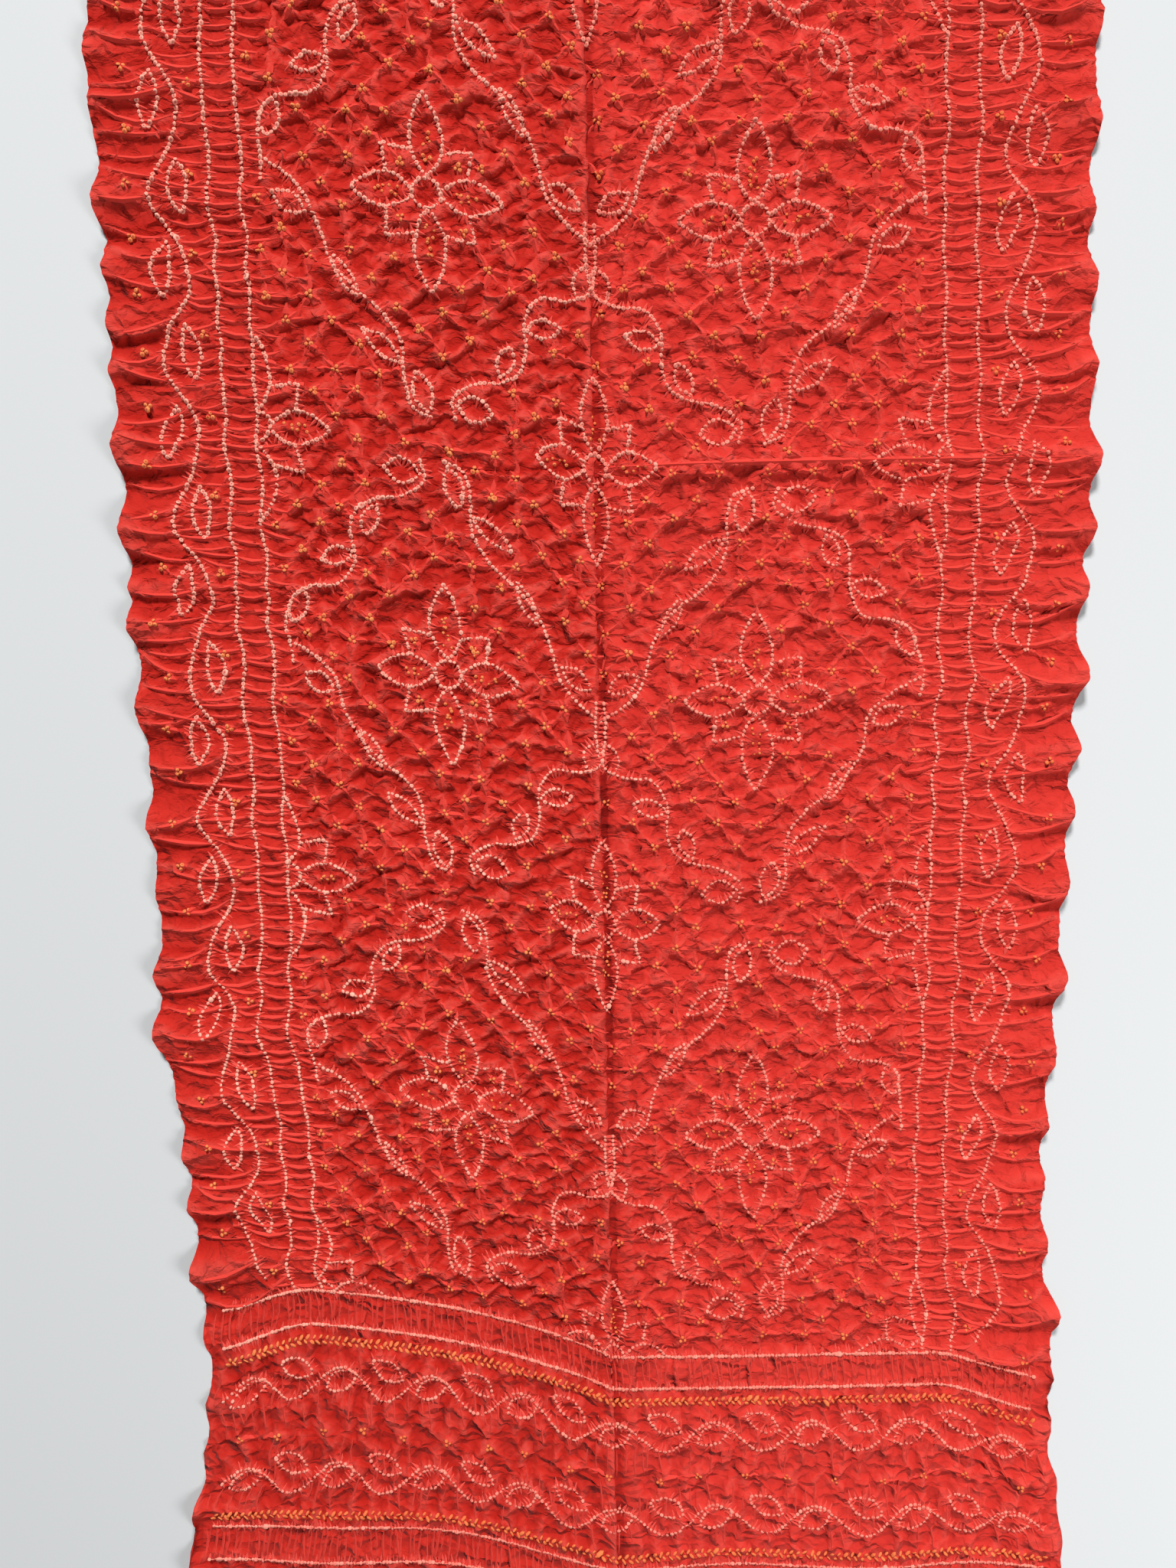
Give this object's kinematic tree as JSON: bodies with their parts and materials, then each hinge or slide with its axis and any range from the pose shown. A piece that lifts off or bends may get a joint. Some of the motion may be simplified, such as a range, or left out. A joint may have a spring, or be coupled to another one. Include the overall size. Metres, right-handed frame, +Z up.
{
  "type": "tie-dyed bandhani stole",
  "caption": "Long thin tie-dyed stole laid open in one layer, drawn up by its tied dots, with ruffled long edges and old fold creases.",
  "frame": {"origin": "under the middle of the cloth's box, on the surface it lies on", "axes": "+Y along the cloth, +X across it, +Z up from the surface it lies on"},
  "size_m": [0.6796, 1.5546, 0.0135],
  "materials": {
    "dyed_cotton": "matte"
  },
  "bodies": {
    "root": {"cloth": "dyed_cotton"}
  },
  "joints": []
}
